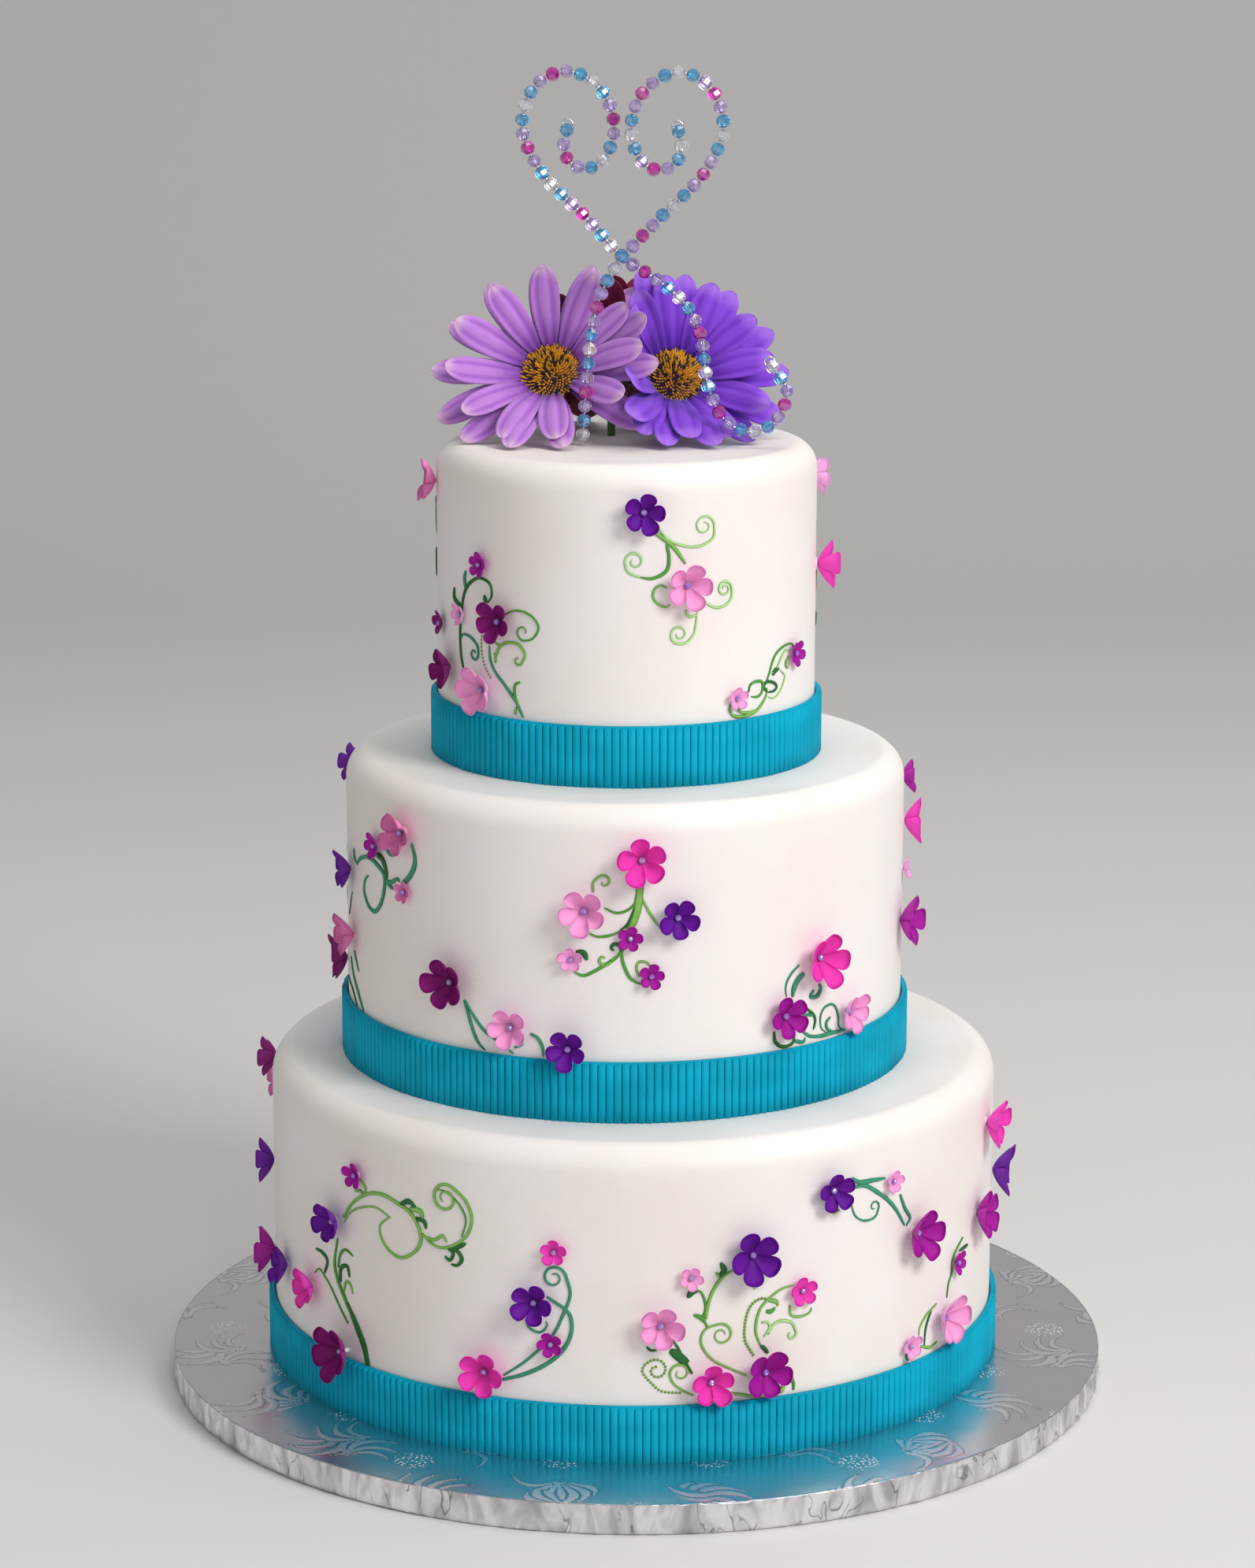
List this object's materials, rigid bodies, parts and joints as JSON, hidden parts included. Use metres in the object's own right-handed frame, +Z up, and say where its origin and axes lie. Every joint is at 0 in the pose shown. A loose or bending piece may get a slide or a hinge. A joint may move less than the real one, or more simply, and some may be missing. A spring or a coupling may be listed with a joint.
{
  "type": "wedding cake",
  "caption": "Tiered round wedding cake on a foil drum, with teal ribbed ribbons, sugar blossoms on scrolling vines, silk daisies and a beaded wire heart on top.",
  "frame": {"origin": "middle of the drum board's underside, where the cake stands", "axes": "+Z up through the tiers, front -Y, +X to the right of someone facing the front"},
  "size_m": [0.4064, 0.4064, 0.564],
  "materials": {
    "foil": "silver foil, embossed with scrolling leaves, satin bright",
    "ivory_paste": "warm white rolled sugar paste, satin",
    "teal_paste": "teal sugar paste, finely ribbed, satin",
    "purple": "deep violet sugar paste, matt, pale violet pearl",
    "magenta": "magenta sugar paste, matt, pale violet pearl",
    "plum": "plum sugar paste, matt, pale violet pearl",
    "pink": "bright pink sugar paste, matt, pale violet pearl",
    "blush": "light pink sugar paste, matt, pale violet pearl",
    "mauve": "dusky pink sugar paste, matt, pale violet pearl",
    "lilac_silk": "lilac silk petals with cream tips, golden brown fuzzy disc",
    "violet_silk": "violet silk petals, golden brown fuzzy disc",
    "wine_silk": "wine red silk petals, golden brown fuzzy disc",
    "crystal": "faceted beads in blue, lavender, magenta and clear on silver wire"
  },
  "bodies": {
    "root": {"cake_board": "foil", "tier_bottom": "ivory_paste", "ribbon_bottom": "teal_paste", "tier_middle": "ivory_paste", "ribbon_middle": "teal_paste", "tier_top": "ivory_paste", "ribbon_top": "teal_paste", "blossom_bottom_01": "plum", "blossom_bottom_02": "mauve", "blossom_bottom_03": "purple", "blossom_bottom_04": "magenta", "blossom_bottom_05": "purple", "blossom_bottom_06": "pink", "blossom_bottom_08": "purple", "blossom_bottom_09": "plum", "blossom_bottom_11": "purple", "blossom_bottom_13": "pink", "blossom_bottom_14": "purple", "blossom_bottom_17": "blush", "blossom_bottom_18": "pink", "blossom_bottom_19": "magenta", "blossom_bottom_20": "purple", "blossom_bottom_22": "magenta", "blossom_bottom_23": "pink", "blossom_bottom_24": "purple", "blossom_bottom_25": "magenta", "blossom_bottom_27": "blush", "blossom_bottom_29": "blush", "blossom_middle_01": "purple", "blossom_middle_02": "mauve", "blossom_middle_04": "purple", "blossom_middle_06": "mauve", "blossom_middle_07": "plum", "blossom_middle_08": "pink", "blossom_middle_09": "blush", "blossom_middle_10": "purple", "blossom_middle_14": "plum", "blossom_middle_15": "blush", "blossom_middle_16": "purple", "blossom_middle_17": "pink", "blossom_middle_18": "magenta", "blossom_middle_19": "blush", "blossom_middle_20": "magenta", "blossom_middle_21": "pink", "blossom_middle_23": "magenta", "blossom_top_01": "mauve", "blossom_top_02": "purple", "blossom_top_03": "blush", "blossom_top_04": "pink", "blossom_top_05": "blush", "blossom_top_08": "plum", "blossom_top_10": "plum", "blossom_top_11": "blush", "daisy_lilac": "lilac_silk", "daisy_violet": "violet_silk", "daisy_wine": "wine_silk", "wire_front": "crystal", "wire_back": "crystal"}
  },
  "joints": []
}
